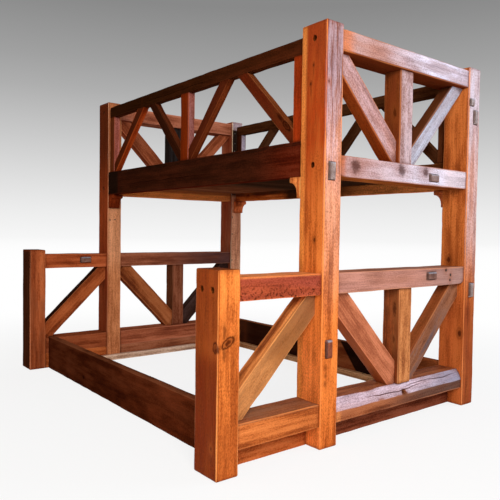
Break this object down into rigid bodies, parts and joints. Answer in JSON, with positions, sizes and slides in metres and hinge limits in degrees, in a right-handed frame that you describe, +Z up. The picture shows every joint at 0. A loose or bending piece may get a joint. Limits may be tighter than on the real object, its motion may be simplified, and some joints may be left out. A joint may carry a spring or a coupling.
{
  "type": "bunk bed",
  "caption": "Rustic timber-frame bunk bed: a single bunk over a wider lower bed, with king posts, diagonal braces, braced guards and ogee corbels in oiled softwood.",
  "frame": {"origin": "On the floor, in the middle of the bed's plan.", "axes": "+X runs along the bed to its right end, +Y from the stepped-out front to the back, +Z up."},
  "size_m": [2.356, 1.785, 1.885],
  "materials": {
    "post_timber": "satin",
    "end_timber": "satin",
    "brace_timber": "satin",
    "guard_timber": "satin",
    "bed_board": "satin",
    "deck_board": "matt"
  },
  "bodies": {
    "root": {"bunk_brace_back_left": "brace_timber", "bunk_brace_back_right": "brace_timber", "bunk_brace_front_left": "brace_timber", "bunk_brace_front_right": "brace_timber", "bunk_deck": "deck_board", "bunk_end_rail_left": "end_timber", "bunk_end_rail_right": "end_timber", "bunk_king_post_left": "end_timber", "bunk_king_post_right": "end_timber", "bunk_side_rail_back": "guard_timber", "bunk_side_rail_front": "guard_timber", "bunk_top_rail_left": "end_timber", "bunk_top_rail_right": "end_timber", "corbel_back_left": "post_timber", "corbel_back_right": "post_timber", "corbel_front_left": "post_timber", "corbel_front_right": "post_timber", "end_ledger_left": "bed_board", "end_ledger_right": "bed_board", "guard_brace_back_1": "guard_timber", "guard_brace_back_2": "guard_timber", "guard_brace_back_3": "guard_timber", "guard_brace_back_4": "guard_timber", "guard_brace_front_1": "guard_timber", "guard_brace_front_2": "guard_timber", "guard_brace_front_3": "guard_timber", "guard_brace_front_4": "guard_timber", "guard_centre_post_back": "guard_timber", "guard_centre_post_front": "guard_timber", "guard_stile_back_left": "guard_timber", "guard_stile_back_right": "guard_timber", "guard_stile_front_left": "guard_timber", "guard_stile_front_right": "guard_timber", "guard_top_rail_back": "guard_timber", "guard_top_rail_front": "guard_timber", "lower_brace_back_left": "brace_timber", "lower_brace_back_right": "brace_timber", "lower_brace_front_left": "brace_timber", "lower_brace_front_right": "brace_timber", "lower_end_rail_left": "end_timber", "lower_end_rail_right": "end_timber", "lower_end_sill_left": "end_timber", "lower_end_sill_right": "end_timber", "lower_king_post_left": "end_timber", "lower_king_post_right": "end_timber", "lower_side_rail_back": "bed_board", "lower_side_rail_front": "bed_board", "lower_step_brace_left": "brace_timber", "lower_step_brace_right": "brace_timber", "lower_step_rail_left": "end_timber", "lower_step_rail_right": "end_timber", "lower_step_sill_left": "end_timber", "lower_step_sill_right": "end_timber", "post_short_left": "post_timber", "post_short_right": "post_timber", "post_tall_back_left": "post_timber", "post_tall_back_right": "post_timber", "post_tall_front_left": "post_timber", "post_tall_front_right": "post_timber"}
  },
  "joints": []
}
